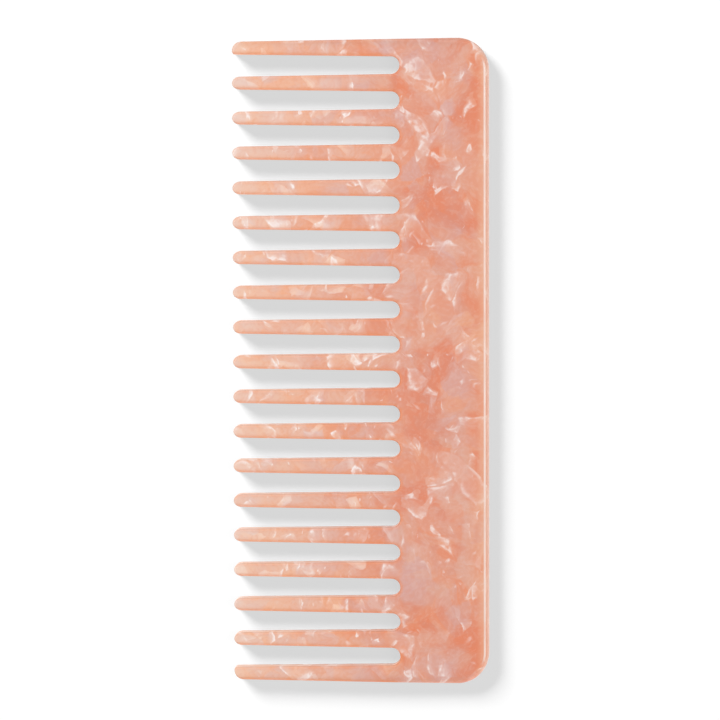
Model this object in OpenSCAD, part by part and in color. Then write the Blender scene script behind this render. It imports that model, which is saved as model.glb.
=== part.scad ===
// Wide tooth comb: a row of long tapered teeth on a straight back, cut from one flat sheet and
// polished all round. It lies flat on its under face, z = 0, with the teeth pointing along -X
// and the row running along Y. The origin is under the middle of the comb's outline.

/* [Teeth] */
// Number of teeth in the row
tooth_count = 19; // [5:1:30]
// Distance between the middles of neighbouring teeth
tooth_pitch = 8.88; // [7:0.02:12]
// Length of a tooth, from its root to its tip
tooth_length = 40.4; // [20:0.1:60]
// Width of a tooth at its root
tooth_root_width = 4.42; // [3.6:0.02:5.6]
// Width of a tooth at its tip, before the tip is rounded
tooth_tip_width = 3.26; // [2.6:0.02:4.6]
// Length of a tooth's rounded end, from where it starts to the tip
tooth_tip_length = 2.1; // [1.7:0.05:4]

/* [End teeth] */
// Radius of the outer tip corner of the first and the last tooth
end_outer_radius = 2.4; // [1:0.05:2.6]
// Radius of the inner tip corner of the first and the last tooth
end_inner_radius = 0.85; // [0.6:0.05:0.95]

/* [Back] */
// Depth of the back, from the tooth roots to the long back edge
back_depth = 24.9; // [14:0.1:50]
// Radius of the two back corners, seen from above
back_corner_radius = 8; // [3:0.1:12]

/* [Sheet and edges] */
// Thickness of the sheet
thickness = 4.5; // [3:0.1:7]
// Rounding of the edges of the teeth, the slots and the comb's ends
edge_round = 0.55; // [0.2:0.05:0.8]
// Rounding of the edges along the back and its corners
back_round = 1.4; // [0.6:0.05:2.2]

/* [Hidden] */
acetate_colour = [0.9, 0.64, 0.53];

// Lengthwise places: the tips, the tooth roots and the back edge
comb_width = tooth_length + back_depth;
tip_x = -comb_width / 2;
root_x = tip_x + tooth_length;
back_x = comb_width / 2;

// Lean of a tooth's side to the tooth's middle line, which the comb's ends follow too
side_angle = atan((tooth_root_width - tooth_tip_width) / 2 / tooth_length);

// Half the width of a tooth where its rounded end starts
tip_half_width = tooth_tip_width / 2 + tooth_tip_length * tan(side_angle);

// The outer tip corner leaves room for the inner one
outer_tip_radius = min(end_outer_radius, tooth_tip_width - end_inner_radius);

// The slots end in a half circle as wide as the gap between two tooth roots
slot_end_radius = (tooth_pitch - tooth_root_width) / 2;

// Half the length of the row, between the outer sides of the end teeth at their roots
half_row = (tooth_count - 1) / 2 * tooth_pitch + tooth_root_width / 2;

// Steps of a rounded edge, from the side of the sheet to its face
round_steps = 4;
round_angles = [for (step = [0:round_steps]) 90 * step / round_steps];

// Thickness of the flat slice that a shape starts from at the tooth roots
root_slice = 0.05;
// Length by which a cut runs past both faces of the sheet
cut_past = 1;

tip_facets = 32;
corner_facets = 64;
slot_facets = 48;

function tooth_name(i) = str("tooth_", i < 10 ? "0" : "", i);
function tooth_y(i) = ((tooth_count + 1) / 2 - i) * tooth_pitch;

// Depth below the face, and distance in from the side, along a rounded edge
function round_depth(round, a) = round * (1 - sin(a));
function round_inset(round, a) = round * (1 - cos(a));

// Distance from a tooth's middle line to the middle of a tip corner of this radius
function tip_corner_y(radius) =
    tooth_tip_width / 2 + radius * tan(side_angle) - radius / cos(side_angle);

// Disc as thick as the sheet, stepped in towards both faces to round its rims
module round_disc(radius, round, facets) {
    for (a = round_angles)
        translate([0, 0, round_depth(round, a)])
            cylinder(
                r = radius - round_inset(round, a),
                h = thickness - 2 * round_depth(round, a),
                $fn = facets
            );
}

// Thin slice across the comb, stepped in towards both faces to round its corners
module round_slice(width, round) {
    for (a = round_angles)
        translate([0, -width / 2 + round_inset(round, a), round_depth(round, a)])
            cube([
                root_slice,
                width - 2 * round_inset(round, a),
                thickness - 2 * round_depth(round, a)
            ]);
}

// Quarter of a tip, rounded in plan between the tip and the upper side of a tooth
module upper_tip_corner(radius) {
    translate([tip_x + radius, tip_corner_y(radius), 0])
        intersection() {
            round_disc(radius, edge_round, tip_facets);
            translate([-radius, 0, 0])
                cube([radius, radius, thickness]);
        }
}

// Tip of the first tooth, rounder on its outer side. The last tooth has its mirror image
module end_tip() {
    upper_tip_corner(outer_tip_radius);
    mirror([0, 1, 0])
        upper_tip_corner(end_inner_radius);
}

// Tip of the other teeth: half an oval in plan, stepped in towards both faces to round its rims
module oval_tip() {
    for (a = round_angles) {
        inset = round_inset(edge_round, a);
        translate([tip_x + tooth_tip_length, 0, round_depth(edge_round, a)])
            scale([(tooth_tip_length - inset) / (tip_half_width - inset), 1, 1])
                cylinder(
                    r = tip_half_width - inset,
                    h = thickness - 2 * round_depth(edge_round, a),
                    $fn = tip_facets
                );
    }
}

// Tapered tooth from its flat root to the tip that it is given
module tooth_bar() {
    hull() {
        translate([root_x - root_slice, 0, 0])
            round_slice(tooth_root_width, edge_round);
        children();
    }
}

// One tooth of the row
module tooth(i) {
    color(acetate_colour)
        translate([0, tooth_y(i), 0])
            tooth_bar() {
                if (i == 1)
                    end_tip();
                else if (i == tooth_count)
                    mirror([0, 1, 0]) end_tip();
                else
                    oval_tip();
            }
}

// Round end of one slot, flared at both faces like the edges of the teeth
module slot_end_cut() {
    side_to_face = [
        for (a = round_angles)
            [slot_end_radius + round_inset(edge_round, a), round_depth(edge_round, a)]
    ];
    lower_edge = [for (k = [round_steps:-1:0]) side_to_face[k]];
    upper_edge = [for (p = side_to_face) [p[0], thickness - p[1]]];
    mouth_radius = slot_end_radius + edge_round;
    rotate_extrude($fn = slot_facets)
        polygon(concat(
            [[0, -cut_past], [mouth_radius, -cut_past]],
            lower_edge,
            upper_edge,
            [[mouth_radius, thickness + cut_past], [0, thickness + cut_past]]
        ));
}

// Straight back with two rounded corners and the round ends of the slots along its root side
module back() {
    corner_x = back_x - back_corner_radius;
    corner_y = half_row + (corner_x - root_x) * tan(side_angle)
        - back_corner_radius / cos(side_angle);
    color(acetate_colour)
        difference() {
            hull() {
                translate([root_x, 0, 0])
                    round_slice(2 * half_row, edge_round);
                for (side = [-1, 1])
                    translate([corner_x, side * corner_y, 0])
                        round_disc(back_corner_radius, back_round, corner_facets);
            }
            for (i = [1:tooth_count - 1])
                translate([root_x, tooth_y(i) - tooth_pitch / 2, 0])
                    slot_end_cut();
        }
}

back();
for (i = [1:tooth_count])
    tooth(i);
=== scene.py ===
import math
import bpy
from mathutils import Matrix, Vector


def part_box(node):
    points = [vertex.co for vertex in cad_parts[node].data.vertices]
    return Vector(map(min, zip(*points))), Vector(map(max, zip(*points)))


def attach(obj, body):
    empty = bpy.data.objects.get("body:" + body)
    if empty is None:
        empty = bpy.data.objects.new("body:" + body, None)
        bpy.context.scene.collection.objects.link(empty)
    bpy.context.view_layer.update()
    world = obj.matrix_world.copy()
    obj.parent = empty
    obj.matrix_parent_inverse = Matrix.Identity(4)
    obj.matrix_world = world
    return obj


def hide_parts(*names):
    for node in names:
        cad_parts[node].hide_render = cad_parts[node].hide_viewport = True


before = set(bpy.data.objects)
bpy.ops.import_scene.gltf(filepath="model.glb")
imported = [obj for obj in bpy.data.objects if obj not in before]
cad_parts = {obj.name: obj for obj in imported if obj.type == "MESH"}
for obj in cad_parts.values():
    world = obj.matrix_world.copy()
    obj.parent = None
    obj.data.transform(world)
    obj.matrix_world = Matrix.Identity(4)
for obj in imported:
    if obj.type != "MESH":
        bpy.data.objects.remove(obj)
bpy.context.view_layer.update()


# The back is the straight spine of the comb, which the hand holds. Back and teeth are one sheet
# of pearl acetate, sliced from a block of pressed coral and pearl chips. The corners are cut
# round, the slots end in half circles, and every edge is rounded over and polished.

back_low, back_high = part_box("back")
root_x = back_low.x
back_x = back_high.x
thickness = back_high.z

half_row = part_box("tooth_01")[1].y
tooth_low, tooth_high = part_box("tooth_02")
tip_x = tooth_low.x
root_width = tooth_high.y - tooth_low.y
pitch = tooth_high.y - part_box("tooth_03")[1].y
tooth_count = sum(name.startswith("tooth_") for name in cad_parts)

tip_width = 0.00326
side_lean = math.atan((root_width - tip_width) / 2 / (root_x - tip_x))
slot_radius = (pitch - root_width) / 2
corner_radius = 0.008
edge_rounding = 0.00055
back_rounding = 0.0014

quarter = math.pi / 2
rounding_steps = 8
corner_steps = 24
slot_steps = 24
end_steps = 10


def rounded_edge(point, outward, rounding):
    """Points and normals over the sheet's edge, from its upper face round to its under face."""
    turns = [quarter * step / rounding_steps for step in range(rounding_steps + 1)]
    points = []
    normals = []
    for side, face, order in ((1, thickness, turns[::-1]), (-1, 0.0, turns)):
        for turn in order:
            spot = point - outward * rounding * (1 - math.cos(turn))
            height = face - side * rounding * (1 - math.sin(turn))
            points.append((spot.x, spot.y, height))
            flat = outward * math.cos(turn)
            normals.append((flat.x, flat.y, side * math.sin(turn)))
    return points, normals


def polished_sheet(name, runs):
    """Closed sheet with rounded edges along the runs of its outline, and flat cuts between them."""
    points = []
    normals = []
    rings = []
    for run in runs:
        rings.append([])
        for spot, outward, rounding in run:
            ring_points, ring_normals = rounded_edge(spot, outward, rounding)
            rings[-1].append(range(len(points), len(points) + len(ring_points)))
            points += ring_points
            normals += ring_normals

    # A rounded face takes the normals of its points, and a flat one has a normal of its own
    faces = []
    face_normals = []
    for run in rings:
        for ring, following in zip(run, run[1:]):
            for k in range(len(ring) - 1):
                faces.append((ring[k], ring[k + 1], following[k + 1], following[k]))
                face_normals.append(None)
    for run, following in zip(rings, rings[1:] + rings[:1]):
        faces.append((*run[-1], *reversed(following[0])))
        cut = Vector(points[following[0][0]]) - Vector(points[run[-1][0]])
        face_normals.append(cut.cross(Vector((0, 0, 1))).normalized())
    all_rings = [ring for run in rings for ring in run]
    faces.append([ring[0] for ring in all_rings])
    face_normals.append((0, 0, 1))
    faces.append([ring[-1] for ring in reversed(all_rings)])
    face_normals.append((0, 0, -1))

    mesh = bpy.data.meshes.new(name)
    mesh.from_pydata(points, [], faces)
    mesh.shade_smooth()
    corner_normals = []
    for face, flat in zip(faces, face_normals):
        corner_normals += [flat or normals[k] for k in face]
    mesh.normals_split_custom_set(corner_normals)
    piece = bpy.data.objects.new(name, mesh)
    bpy.context.scene.collection.objects.link(piece)
    return piece


def arc(centre, radius, start, end, steps, rounding, hollow=False):
    """Run of outline points on an arc. A hollow arc has its air on the inside."""
    run = []
    for step in range(steps + 1):
        angle = start + (end - start) * step / steps
        ray = Vector((math.cos(angle), math.sin(angle)))
        run.append((centre + ray * radius, -ray if hollow else ray, rounding))
    return run


def tooth_y(index):
    """Place of a tooth's middle along the row, counted from the upper end."""
    return ((tooth_count + 1) / 2 - index) * pitch


def mirrored(run):
    """The same run of outline points on the lower side of the x axis."""
    flip = Vector((1, -1))
    return [(spot * flip, outward * flip, rounding) for spot, outward, rounding in run]


corner_x = back_x - corner_radius
corner_y = (
    half_row
    + (corner_x - root_x) * math.tan(side_lean)
    - corner_radius / math.cos(side_lean)
)
upper_half = arc(
    Vector((corner_x, corner_y)),
    corner_radius, 0, quarter + side_lean, corner_steps, back_rounding,
)
corner_end, end_outward, end_rounding = upper_half[-1]
upper_root = Vector((root_x, half_row))
for step in range(1, end_steps + 1):
    share = step / end_steps
    outward = Vector((0, 1)) if step == end_steps else end_outward
    rounding = end_rounding + (edge_rounding - end_rounding) * share
    upper_half.append((corner_end.lerp(upper_root, share), outward, rounding))
back_runs = [mirrored(upper_half)[::-1] + upper_half]
for index in range(1, tooth_count):
    slot_centre = Vector((root_x, tooth_y(index) - pitch / 2))
    back_runs.append(
        arc(slot_centre, slot_radius, quarter, -quarter, slot_steps, edge_rounding, hollow=True)
    )


def paint(red, green, blue):
    """Colour given as it looks on a screen, 0 to 255, as Blender's own linear colour."""
    parts = [value / 255 for value in (red, green, blue)]
    return (*(v / 12.92 if v < 0.04045 else ((v + 0.055) / 1.055) ** 2.4 for v in parts), 1)


def wire(tree, kind, inputs=None, **settings):
    """New node with its settings, and its inputs set to values or joined to other nodes."""
    made = tree.nodes.new(kind)
    for key, value in settings.items():
        setattr(made, key, value)
    for key, value in (inputs or {}).items():
        if isinstance(value, bpy.types.NodeSocket):
            tree.links.new(value, made.inputs[key])
        else:
            made.inputs[key].default_value = value
    return made


def math_of(tree, operation, first, second=0.0, third=0.0):
    """Result of a sum, product or other operation on values."""
    return wire(
        tree, "ShaderNodeMath", {0: first, 1: second, 2: third}, operation=operation
    ).outputs[0]


def vector_of(tree, operation, first, second):
    """Result of an operation on two vectors."""
    made = wire(tree, "ShaderNodeVectorMath", {0: first, 1: second}, operation=operation)
    return made.outputs["Value" if operation == "DOT_PRODUCT" else "Vector"]


def ramp(tree, value, low, high, start=0.0, end=1.0, shape="LINEAR"):
    """Straight change from start to end, as a value goes from low to high."""
    return wire(
        tree, "ShaderNodeMapRange",
        {"Value": value, "From Min": low, "From Max": high, "To Min": start, "To Max": end},
        interpolation_type=shape,
    ).outputs["Result"]


def band(tree, value, low, high, start=0.0, end=1.0):
    """Smooth change from start to end, as a value goes from low to high."""
    return ramp(tree, value, low, high, start, end, shape="SMOOTHSTEP")


def blend(tree, share, first, second, way="MIX"):
    """First colour with a share of the second one over it."""
    return wire(
        tree, "ShaderNodeMix", {"Factor": share, 6: first, 7: second},
        data_type="RGBA", blend_type=way,
    ).outputs[2]


def chip_layer():
    """Chips of pearl sheet in the coral. Each gleams to one side and has a bright rim there."""
    chip_spins = (61.0, 67.0, 71.0)
    slope_reach = 0.48
    streaks = 16.0
    streak_start = 500.0
    streak_strength = 0.16
    rim_peak = 0.22
    border_cover = 0.6

    tree = bpy.data.node_groups.new("pearl_chips", "ShaderNodeTree")
    for socket, kind in (
        ("Place", "NodeSocketVector"), ("Size", "NodeSocketVector"), ("Turn", "NodeSocketVector"),
        ("Share", "NodeSocketFloat"), ("Blur", "NodeSocketFloat"), ("Rim Width", "NodeSocketFloat"),
    ):
        tree.interface.new_socket(socket, in_out="INPUT", socket_type=kind)
    for socket in ("Cover", "Gleam", "Rim", "Pick"):
        tree.interface.new_socket(socket, in_out="OUTPUT", socket_type="NodeSocketFloat")
    given = tree.nodes.new("NodeGroupInput").outputs

    def shifted(spot, way, **inputs):
        return wire(
            tree, "ShaderNodeMapping", {"Vector": spot, **inputs}, vector_type=way
        ).outputs["Vector"]

    # Each chip is a cell with a number of its own, and some of them are chosen to be pearl
    scaled = shifted(given["Place"], "TEXTURE", Rotation=given["Turn"], Scale=given["Size"])
    cells = wire(tree, "ShaderNodeTexVoronoi", {"Vector": scaled, "Scale": 1.0}).outputs
    border = wire(
        tree, "ShaderNodeTexVoronoi", {"Vector": scaled, "Scale": 1.0}, feature="DISTANCE_TO_EDGE"
    ).outputs["Distance"]
    pick = wire(tree, "ShaderNodeTexWhiteNoise", {"Vector": cells["Position"]}).outputs["Value"]
    chosen = math_of(tree, "LESS_THAN", pick, given["Share"])

    # Every chip is turned its own way, and its gleam rises from one side of it to the other
    spin = shifted(cells["Position"], "POINT", Scale=chip_spins)
    inside = shifted(scaled, "TEXTURE", Location=cells["Position"], Rotation=spin)
    centred = shifted(inside, "POINT", Location=(0.5, 0.5, 0.5), Scale=(0.5, 0.5, 0.5))
    across_chip = wire(tree, "ShaderNodeTexGradient", {"Vector": centred}).outputs["Fac"]
    slope = math_of(tree, "MULTIPLY_ADD", across_chip, 2 * slope_reach, -slope_reach)
    own_start = math_of(tree, "MULTIPLY", pick, streak_start)
    streak = wire(
        tree, "ShaderNodeTexNoise",
        {"W": math_of(tree, "MULTIPLY_ADD", slope, streaks, own_start), "Scale": 1.0, "Detail": 2.0},
        noise_dimensions="1D",
    ).outputs["Fac"]
    drift = math_of(tree, "MULTIPLY_ADD", streak, streak_strength, slope)
    gleam = band(tree, drift, -0.08, 0.32)

    # The rim is a bright line just inside the border, on the side that gleams
    rim_middle = math_of(tree, "MULTIPLY", given["Rim Width"], rim_peak)
    rim_line = math_of(
        tree, "MULTIPLY",
        band(tree, border, 0.0, rim_middle),
        band(tree, border, rim_middle, given["Rim Width"], 1.0, 0.0),
    )
    bright_side = band(tree, drift, 0.14, 0.30)
    rim = math_of(tree, "MULTIPLY", chosen, math_of(tree, "MULTIPLY", rim_line, bright_side))
    soft_border = band(tree, border, 0.0, given["Blur"], border_cover, 1.0)
    given_out = tree.nodes.new("NodeGroupOutput").inputs
    tree.links.new(math_of(tree, "MULTIPLY", chosen, soft_border), given_out["Cover"])
    tree.links.new(gleam, given_out["Gleam"])
    tree.links.new(rim, given_out["Rim"])
    tree.links.new(math_of(tree, "DIVIDE", pick, given["Share"]), given_out["Pick"])
    return tree


def pearl_acetate():
    """Coral acetate with pearl chips of many sizes, polished on its faces and ground at its edges."""
    material = bpy.data.materials.new("pearl_acetate")
    material.use_nodes = True
    tree = material.node_tree
    skin = tree.nodes["Principled BSDF"]

    deep_coral = paint(225, 122, 82)
    smoky_coral = paint(225, 122, 84)
    coral = paint(227, 145, 115)
    slot_glow_orange = paint(231, 136, 86)
    mauve = paint(221, 163, 152)
    pink = paint(226, 156, 137)
    peach = paint(232, 174, 147)
    thin_light_peach = paint(247, 214, 192)
    tip_peach = paint(246, 219, 203)
    edge_peach = paint(240, 198, 168)
    rounding_light_pink = paint(228, 189, 174)
    edge_highlight = paint(245, 219, 208)
    wall_light_peach = paint(250, 222, 206)
    pale = paint(235, 192, 178)
    lavender = paint(227, 187, 183)
    cream = paint(252, 238, 229)
    glint = paint(255, 246, 243)
    black = (0, 0, 0, 1)
    warm_tint = (1.03, 0.88, 0.73, 1)
    cool_tint = (0.92, 0.965, 1.06, 1)

    millimetres = 1000.0
    root_mm = millimetres * root_x
    tip_mm = millimetres * tip_x
    back_mm = millimetres * back_x
    pitch_mm = millimetres * pitch
    slot_mm = millimetres * slot_radius
    corner_mm = millimetres * corner_y
    row_mm = millimetres * half_row

    def times(first, second):
        return math_of(tree, "MULTIPLY", first, second)

    def noise(spot, size, detail=2.0):
        return wire(
            tree, "ShaderNodeTexNoise", {"Vector": spot, "Scale": 1 / size, "Detail": detail}
        ).outputs

    def stirred(spot, size, reach):
        swirl = vector_of(tree, "SUBTRACT", noise(spot, size)["Color"], (0.5, 0.5, 0.5))
        return vector_of(tree, "ADD", spot, vector_of(tree, "MULTIPLY", swirl, (reach,) * 3))

    # Places in the sheet, in millimetres, stirred as the chips were when the block was pressed
    sheet = wire(tree, "ShaderNodeTexCoord").outputs
    place = vector_of(tree, "MULTIPLY", sheet["Object"], (millimetres,) * 3)
    bent = stirred(stirred(place, 16.0, 8.0), 5.0, 2.0)
    folded = stirred(bent, 1.8, 0.7)
    place_parts = wire(tree, "ShaderNodeSeparateXYZ", {"Vector": place}).outputs
    along = place_parts["X"]
    across = place_parts["Y"]
    from_middle = math_of(tree, "ABSOLUTE", across)

    # How far a surface faces up or down: 1 on the faces, less on a rounded edge, 0 on a wall
    facing = wire(tree, "ShaderNodeSeparateXYZ", {"Vector": sheet["Normal"]}).outputs["Z"]
    rise = math_of(tree, "ABSOLUTE", facing)
    off_wall = band(tree, rise, 0.1, 0.6, 0.3, 1.0)

    # The ground is coral, deeper in places
    ground = band(tree, noise(folded, 11.0, 3.0)["Fac"], 0.36, 0.60)
    colour = blend(tree, ground, deep_coral, coral)

    chips = chip_layer()

    def chip(size, stretch, turn, share, blur, rim_width=0.1, spot=folded):
        made = tree.nodes.new("ShaderNodeGroup")
        made.node_tree = chips
        tree.links.new(spot, made.inputs["Place"])
        for key, value in (
            ("Size", (size, size / stretch, size)), ("Turn", (0.0, 0.0, -turn)), ("Share", share),
            ("Blur", blur), ("Rim Width", rim_width),
        ):
            made.inputs[key].default_value = value
        return made.outputs

    # Dull chips of several sizes lie in the ground, some warmer and some cooler
    pearly = band(tree, noise(folded, 6.0, 3.0)["Fac"], 0.36, 0.64)
    for size, stretch, turn, share, blur, strength, first, second in (
        (20.0, 1.6, 0.4, 0.50, 0.15, 0.90, pink, peach),
        (14.0, 1.4, 1.9, 0.45, 0.10, 0.90, mauve, peach),
        (10.0, 1.7, 1.1, 0.42, 0.08, 0.80, pink, mauve),
        (7.0, 1.5, 2.6, 0.36, 0.08, 0.70, peach, mauve),
        (4.6, 1.4, 0.3, 0.40, 0.14, 0.50, mauve, peach),
    ):
        layer = chip(size, stretch, turn, share, blur)
        tint = blend(tree, layer["Pick"], first, second)
        gleam = band(tree, layer["Gleam"], 0.0, 0.8, 0.25 * strength, strength)
        shown = times(layer["Cover"], gleam)
        colour = blend(tree, shown, colour, tint)
        change = math_of(tree, "SUBTRACT", layer["Pick"], pearly)
        pearly = math_of(tree, "MULTIPLY_ADD", shown, change, pearly)

    # Clouds of clear coral drift over them, and painted light makes the sheet paler towards the thin
    # tips, where light shines through the teeth
    smoke = band(tree, noise(folded, 13.0, 4.0)["Fac"], 0.50, 0.66, 0.0, 0.85)
    colour = blend(tree, smoke, colour, smoky_coral)
    painted_thin_light = ramp(tree, along, root_mm + 3.0, tip_mm + 5.0, 0.12, 0.72)
    colour = blend(tree, painted_thin_light, colour, thin_light_peach)

    # Pearl chips lie nearer the skin, and the same painted light makes them paler towards the tips
    dim_pearl = blend(tree, painted_thin_light, lavender, pale)
    bright_pearl = blend(tree, painted_thin_light, pale, cream)
    rims = 0.0
    for size, stretch, turn, share, blur, rim_width, strength in (
        (10.0, 1.6, 0.8, 0.36, 0.06, 0.26, 0.42),
        (6.5, 1.7, 2.2, 0.30, 0.09, 0.31, 0.42),
        (4.2, 1.8, 1.5, 0.20, 0.13, 0.42, 0.44),
    ):
        layer = chip(size, stretch, turn, share, blur, rim_width)
        tint = blend(tree, layer["Gleam"], dim_pearl, bright_pearl)
        shown = times(layer["Cover"], ramp(tree, layer["Gleam"], 0.25, 1.0, 0.0, strength))
        colour = blend(tree, shown, colour, tint)
        rims = math_of(tree, "MAXIMUM", rims, times(layer["Rim"], layer["Rim"]))

    # The teeth show one more layer of them
    layer = chip(5.2, 1.3, 0.2, 0.40, 0.10)
    in_teeth = band(tree, along, root_mm + 2.0, root_mm - 3.0, 0.0, 0.55)
    shown = times(times(layer["Cover"], layer["Gleam"]), in_teeth)
    tint = blend(tree, band(tree, layer["Gleam"], 0.6, 1.0), bright_pearl, cream)
    colour = blend(tree, shown, colour, tint)

    # Pearl shifts between warm and cool, and stays warm along the upper and under back edge
    pearly = times(pearly, band(tree, along, root_mm - 4.0, root_mm + 2.0, 0.96, 1.0))
    warmth = times(band(tree, along, back_mm - 7.0, back_mm - 2.5, 0.0, 0.8), off_wall)
    pearly = times(pearly, math_of(tree, "SUBTRACT", 1.0, warmth))
    colour = blend(tree, 1.0, colour, blend(tree, pearly, warm_tint, cool_tint), way="MULTIPLY")

    # Rims of chips flash in broken lines, more so in the teeth
    sparkle = band(tree, along, root_mm - 5.0, root_mm + 1.0, 0.95, 0.64)
    broken = band(tree, noise(place, 2.0)["Fac"], 0.36, 0.60)
    colour = blend(tree, times(rims, times(broken, sparkle)), colour, glint)

    # Bright slivers and specks lie in clusters
    clusters = band(tree, noise(folded, 9.0)["Fac"], 0.44, 0.60)
    sliver_blur = 0.52
    for size, stretch, turn, share, strength in (
        (3.3, 2.3, 0.6, 0.05, 0.9),
        (2.2, 1.9, 2.4, 0.07, 1.0),
        (1.2, 1.3, 1.3, 0.035, 1.2),
    ):
        layer = chip(size, stretch, turn, share, sliver_blur, spot=bent)
        shown = band(tree, layer["Cover"], 0.6, 1.0)
        shown = times(shown, times(band(tree, layer["Gleam"], 0.3, 0.9), clusters))
        colour = blend(tree, times(shown, times(sparkle, strength)), colour, glint)

    # A fine grain runs through everything
    grain = noise(folded, 0.9, 2.0)["Fac"]
    colour = blend(tree, band(tree, grain, 0.45, 0.70, 0.0, 0.20), colour, pale)
    colour = blend(tree, band(tree, grain, 0.55, 0.30, 0.0, 0.20), colour, coral)

    # Painted light gathers in the tips and along the back edge
    painted_tip_light = band(tree, along, tip_mm + 6.0, tip_mm, 0.0, 0.32)
    colour = blend(tree, painted_tip_light, colour, tip_peach)
    painted_back_light = times(band(tree, along, back_mm - 3.4, back_mm - 1.0, 0.0, 0.36), off_wall)
    colour = blend(tree, painted_back_light, colour, edge_peach)

    # A painted orange glow runs along the slots, standing in for light through the rounded slot
    # edges, at a depth measured in from the nearest slot's side
    to_slot = math_of(tree, "ADD", across, pitch_mm / 2)
    off_slot = math_of(tree, "WRAP", to_slot, pitch_mm / 2, -pitch_mm / 2)
    past_root = math_of(tree, "MAXIMUM", math_of(tree, "SUBTRACT", along, root_mm), 0.0)
    before_root = math_of(tree, "MAXIMUM", math_of(tree, "SUBTRACT", root_mm, along), 0.0)
    squares = math_of(tree, "ADD", times(past_root, past_root), times(off_slot, off_slot))
    slot_half = math_of(tree, "MULTIPLY_ADD", before_root, math.tan(side_lean), slot_mm)
    depth = math_of(tree, "SUBTRACT", math_of(tree, "SQRT", squares), slot_half)
    upper_side = band(tree, off_slot, -2.4, -1.2, 0.35, 1.0)
    near_slot = times(band(tree, depth, 0.2, 1.2, 0.52, 0.0), upper_side)
    lower_side = band(tree, off_slot, 0.5, 1.5)
    deeper = times(band(tree, depth, 0.1, 1.7, 0.18, 0.0), lower_side)
    painted_slot_glow = times(
        math_of(tree, "MAXIMUM", near_slot, deeper), band(tree, rise, 0.1, 0.6, 0.5, 1.0)
    )
    colour = blend(tree, painted_slot_glow, colour, slot_glow_orange)

    # The back edge is rounded. Painted light makes its rounding paler, and a painted highlight line,
    # partly matched by the edge lamp's real reflection, runs where the rounding starts
    on_back = band(tree, along, back_mm - 4.2, back_mm - 2.0)
    rounded = times(
        band(tree, rise, 0.5, 0.995, 1.0, 0.0), band(tree, rise, 0.05, 0.4, 0.3, 1.0)
    )
    rounding_light_share = 0.7
    colour = blend(tree, times(times(rounded, on_back), rounding_light_share), colour, rounding_light_pink)
    # Painted highlight line where the back rounding starts
    line = times(band(tree, rise, 0.87, 0.93), band(tree, rise, 0.995, 0.99995, 1.0, 0.0))
    straight = band(tree, from_middle, corner_mm + 0.5, corner_mm + 3.5, 1.0, 0.0)
    uneven = ramp(tree, noise(place, 7.0)["Fac"], 0.3, 0.6, 0.7, 0.98)
    colour = blend(tree, times(times(line, on_back), times(straight, uneven)), colour, edge_highlight)

    # Painted light makes the walls paler, and painted shade makes the edges on the lamp's side and
    # both ends of the row a little darker
    away_from_lamp = (0.69, -0.72, 0.0)
    away = vector_of(tree, "DOT_PRODUCT", sheet["Normal"], away_from_lamp)
    painted_wall_light = band(tree, rise, 0.15, 0.55, 0.20, 0.0)
    colour = blend(tree, painted_wall_light, colour, wall_light_peach)
    # Painted shade on the edges that face the lamp
    painted_lamp_shade = times(
        band(tree, away, 0.0, -0.7, 0.0, 0.34), band(tree, rise, 0.15, 0.55, 0.45, 1.0)
    )
    colour = blend(tree, painted_lamp_shade, colour, black)
    # Painted shade along both ends of the row
    painted_end_shade = band(tree, from_middle, row_mm - 2.6, row_mm - 0.4, 0.0, 0.07)
    colour = blend(tree, painted_end_shade, colour, black)
    tree.links.new(colour, skin.inputs["Base Color"])

    # A painted glow stands in for light that entered the sheet and comes out again at the edges that
    # face away from the lamp
    painted_glow = times(
        band(tree, away, -0.2, 0.6, -0.08, 0.40), band(tree, on_back, 0.0, 1.0, 1.0, 0.72)
    )
    tree.links.new(blend(tree, painted_glow, black, colour), skin.inputs["Emission Color"])
    skin.inputs["Emission Strength"].default_value = 1.0

    # The faces are polished, the rounded edges satin, and the whole is very slightly wavy
    haze = ramp(tree, noise(place, 4.0, 4.0)["Fac"], 0.3, 0.7, 0.0, 0.06)
    polish = band(tree, rise, 0.8, 0.998, 0.52, 0.13)
    tree.links.new(math_of(tree, "ADD", polish, haze), skin.inputs["Roughness"])
    waves = wire(
        tree, "ShaderNodeBump",
        {"Height": noise(place, 6.0, 1.0)["Fac"], "Strength": 0.2, "Distance": 0.00008},
    )
    tree.links.new(waves.outputs["Normal"], skin.inputs["Normal"])
    skin.inputs["IOR"].default_value = 1.48
    return material


acetate = pearl_acetate()


def finish_piece(piece, node):
    """Gives a piece its material and its place in the comb."""
    piece.data.materials.append(acetate)
    # The comb casts no coral tint on the table, so its shadow stays grey
    piece.visible_diffuse = False
    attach(piece, "root")
    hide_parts(node)


finish_piece(polished_sheet("comb_back", back_runs), "back")


# The teeth are long tapered bars left between the slots, wide apart so that they part hair
# without pulling. Their tips are ground to oval ends and polished like the rest of the sheet.

tip_length = 0.0021
tip_steps = 14
side_steps = 12
side_outward = Vector((-math.sin(side_lean), math.cos(side_lean)))


def oval_tip():
    """Upper half of an oval tip, for a tooth on the x axis, from its side round to its end."""
    half_width = tip_width / 2 + tip_length * math.tan(side_lean)
    start = quarter + math.atan(tip_length / half_width * math.tan(side_lean))
    run = []
    for step in range(tip_steps + 1):
        angle = start + (2 * quarter - start) * step / tip_steps
        ray = Vector((math.cos(angle), math.sin(angle)))
        spot = Vector((tip_x + tip_length, 0)) + ray * Vector((tip_length, half_width))
        outward = (ray * Vector((half_width, tip_length))).normalized()
        run.append((spot, outward, edge_rounding))
    return run


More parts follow.
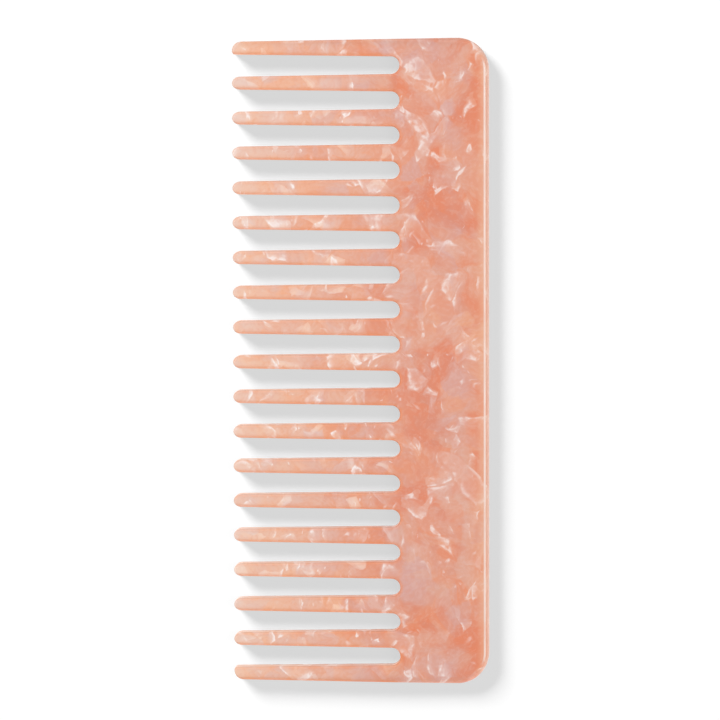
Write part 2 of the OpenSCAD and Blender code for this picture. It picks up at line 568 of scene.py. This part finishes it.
def tooth_side(tip):
    """Upper side of a tooth on the x axis, from its root to the end of its tip."""
    root = Vector((root_x, root_width / 2))
    tip_start = tip[0][0]
    run = [(root, Vector((0, 1)), edge_rounding)]
    for step in range(1, side_steps):
        run.append((root.lerp(tip_start, step / side_steps), side_outward, edge_rounding))
    return run + tip


def tooth(index, upper_tip, lower_tip):
    """Tooth with a tip of two halves. Two like halves share the point at the end of the tip."""
    lower = mirrored(tooth_side(lower_tip))[::-1]
    if upper_tip is lower_tip:
        lower = lower[1:]
    middle = Vector((0, tooth_y(index)))
    run = [
        (spot + middle, outward, rounding)
        for spot, outward, rounding in tooth_side(upper_tip) + lower
    ]
    name = f"tooth_{index:02d}"
    finish_piece(polished_sheet(f"comb_{name}", [run]), name)


ground_tip = oval_tip()
for index in range(2, tooth_count):
    tooth(index, ground_tip, ground_tip)


# The first and the last tooth guard the ends of the row. Their outer tip corners are ground to a
# larger radius than their inner ones, so the comb's ends slide over the scalp.

outer_tip_radius = 0.0024
inner_tip_radius = 0.00085


def tip_corner(radius):
    """Upper tip corner of a tooth on the x axis, from its side round to the tip."""
    centre_y = tip_width / 2 + radius * math.tan(side_lean) - radius / math.cos(side_lean)
    centre = Vector((tip_x + radius, centre_y))
    return arc(centre, radius, quarter + side_lean, 2 * quarter, tip_steps, edge_rounding)


outer_corner = tip_corner(outer_tip_radius)
inner_corner = tip_corner(inner_tip_radius)
tooth(1, outer_corner, inner_corner)
tooth(tooth_count, inner_corner, outer_corner)


# The floor is a plain white table top, wide enough to fill every view. It looks white to the
# camera and in reflections, and it takes the comb's soft shadow.

floor_half = 3.0
floor_drop = 0.0001
table_paint = (0.61, 0.61, 0.61, 1)
table_glow = 0.44

floor_mesh = bpy.data.meshes.new("floor")
floor_mesh.from_pydata(
    [(x * floor_half, y * floor_half, -floor_drop) for x, y in ((-1, -1), (1, -1), (1, 1), (-1, 1))],
    [], [(0, 1, 2, 3)],
)
floor = bpy.data.objects.new("floor", floor_mesh)
bpy.context.scene.collection.objects.link(floor)


def seen_or_mirrored(tree):
    """1 where the camera sees a surface, itself or in a reflection or through glass, or else 0."""
    light_path = wire(tree, "ShaderNodeLightPath").outputs
    seen = math_of(tree, "MAXIMUM", light_path["Is Camera Ray"], light_path["Is Glossy Ray"])
    return math_of(tree, "MAXIMUM", seen, light_path["Is Transmission Ray"])


table = bpy.data.materials.new("white_table")
table.use_nodes = True
table_tree = table.node_tree
table_tree.nodes.clear()
table_light = math_of(table_tree, "MULTIPLY", seen_or_mirrored(table_tree), table_glow)
white = wire(table_tree, "ShaderNodeEmission", {"Strength": table_light}).outputs[0]
matte = wire(table_tree, "ShaderNodeBsdfDiffuse", {"Color": table_paint}).outputs[0]
both = wire(table_tree, "ShaderNodeAddShader", {0: white, 1: matte}).outputs[0]
wire(table_tree, "ShaderNodeOutputMaterial", {"Surface": both})
floor_mesh.materials.append(table)


# Studio light: a white room, dimmer overhead, with a soft box at the upper left that throws the
# shadow to the lower right, a long lamp whose reflection runs along the back edge, and a low card
# at the lower right that fills the shaded edges.

wall_light = 0.80
ceiling_light = 0.24
ceiling_start = 0.3
ceiling_full = 0.6

world = bpy.data.worlds.new("studio")
bpy.context.scene.world = world
world.use_nodes = True
room = world.node_tree
direction = wire(room, "ShaderNodeTexCoord").outputs["Generated"]
upward = wire(room, "ShaderNodeSeparateXYZ", {"Vector": direction}).outputs["Z"]
room_light = band(room, upward, ceiling_start, ceiling_full, wall_light, ceiling_light)
room_light = math_of(room, "MAXIMUM", room_light, seen_or_mirrored(room))
room.links.new(room_light, room.nodes["Background"].inputs["Strength"])
room.nodes["Background"].inputs["Color"].default_value = (1, 1, 1, 1)


def soft_box(name, place, width, length, power, mirrored_in_comb):
    """Lamp with a flat face that points at the comb."""
    lamp = bpy.data.lights.new(name, "AREA")
    lamp.shape = "RECTANGLE"
    lamp.size = width
    lamp.size_y = length
    lamp.energy = power
    box = bpy.data.objects.new(name, lamp)
    box.location = place
    box.rotation_euler = (-Vector(place)).to_track_quat("-Z", "Y").to_euler()
    box.visible_glossy = mirrored_in_comb
    bpy.context.scene.collection.objects.link(box)


key_place = (-2.16, 2.26, 1.88)
key_side = 1.35
key_power = 148
soft_box("key_light", key_place, key_side, key_side, key_power, mirrored_in_comb=False)

edge_place = (1.4, 0.0, 2.0)
edge_width = 0.4
edge_length = 1.6
edge_power = 4
soft_box("edge_light", edge_place, edge_width, edge_length, edge_power, mirrored_in_comb=True)

card_place = (1.0, -0.7, 0.1)
card_width = 2.4
card_height = 0.18
card_power = 6
soft_box("fill_card", card_place, card_width, card_height, card_power, mirrored_in_comb=False)


# The camera looks down on the comb from about a metre, leaning a little to its upper right. Its
# distance and the spot it aims at are counted in pixels of a square picture 720 pixels wide.

picture_width = 720
pixel_size = 0.00025477
distance_pixels = 4000
aim_right_pixels = -0.64
aim_up_pixels = 2.25
lean_up = math.radians(3.55)
lean_right = math.radians(3.3)
roll = math.radians(0.14)
sensor_width = 36

aim = Vector((aim_right_pixels * pixel_size, aim_up_pixels * pixel_size, thickness))
to_camera = Vector((
    math.sin(lean_right),
    math.sin(lean_up),
    math.cos(math.hypot(lean_right, lean_up)),
)).normalized()
ahead = -to_camera
right = Matrix.Rotation(roll, 3, ahead) @ ahead.cross(Vector((0, 1, 0))).normalized()
turned = Matrix((right, right.cross(ahead), to_camera)).transposed().to_4x4()

lens = bpy.data.cameras.new("camera")
lens.sensor_width = sensor_width
lens.lens = sensor_width * distance_pixels / picture_width
camera = bpy.data.objects.new("camera", lens)
camera.matrix_world = Matrix.Translation(aim + to_camera * distance_pixels * pixel_size) @ turned
bpy.context.scene.collection.objects.link(camera)
bpy.context.scene.camera = camera

bpy.context.scene.view_settings.view_transform = "Standard"
